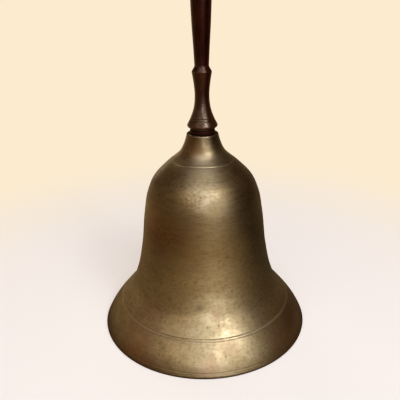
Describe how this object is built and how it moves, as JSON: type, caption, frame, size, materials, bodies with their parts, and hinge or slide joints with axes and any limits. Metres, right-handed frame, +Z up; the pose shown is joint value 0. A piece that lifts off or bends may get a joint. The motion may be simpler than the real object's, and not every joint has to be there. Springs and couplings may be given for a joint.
{
  "type": "sanctus bell",
  "caption": "Hand bell with a flared brass shell, a slim turned hardwood handle on a tie rod, and a clapper that swivels and swings on a pinned yoke.",
  "frame": {"origin": "centre of the lip plane that the bell stands on", "axes": "+Z up the axis of the bell towards the handle; +Y along the clapper's pin at rest"},
  "size_m": [0.102, 0.102, 0.1976],
  "materials": {
    "aged_bell_brass": "cast and turned brass with a mottled brown patina",
    "stained_hardwood": "turned hardwood, stained dark brown and varnished",
    "dark_leather": "dark brown leather, cut edge",
    "drawn_steel": "drawn steel, dulled",
    "turned_brass": "turned brass, lightly tarnished",
    "forged_iron": "forged iron, dark scale"
  },
  "bodies": {
    "bell": {"bell_shell": "aged_bell_brass", "handle": "stained_hardwood", "foot_washer": "dark_leather", "tie_rod": "drawn_steel", "finial_washer": "turned_brass", "finial_nut": "turned_brass", "crown_washer": "dark_leather", "clamp_washer": "drawn_steel", "clamp_nut": "drawn_steel"},
    "yoke": {"clapper_yoke": "turned_brass", "yoke_pin": "drawn_steel", "cheek_washers": "turned_brass"},
    "clapper": {"clapper_shank": "forged_iron", "clapper_ball": "turned_brass"}
  },
  "joints": [
    {"name": "yoke_swivel", "type": "hinge", "parent": "bell", "child": "yoke", "pos_m": [0, 0, 0.0785], "axis": [0, 0, 1], "continuous": true},
    {"name": "clapper_swing", "type": "hinge", "parent": "yoke", "child": "clapper", "pos_m": [0, 0, 0.072], "axis": [0, 1, 0], "range_deg": [-24.7, 24.7]}
  ]
}
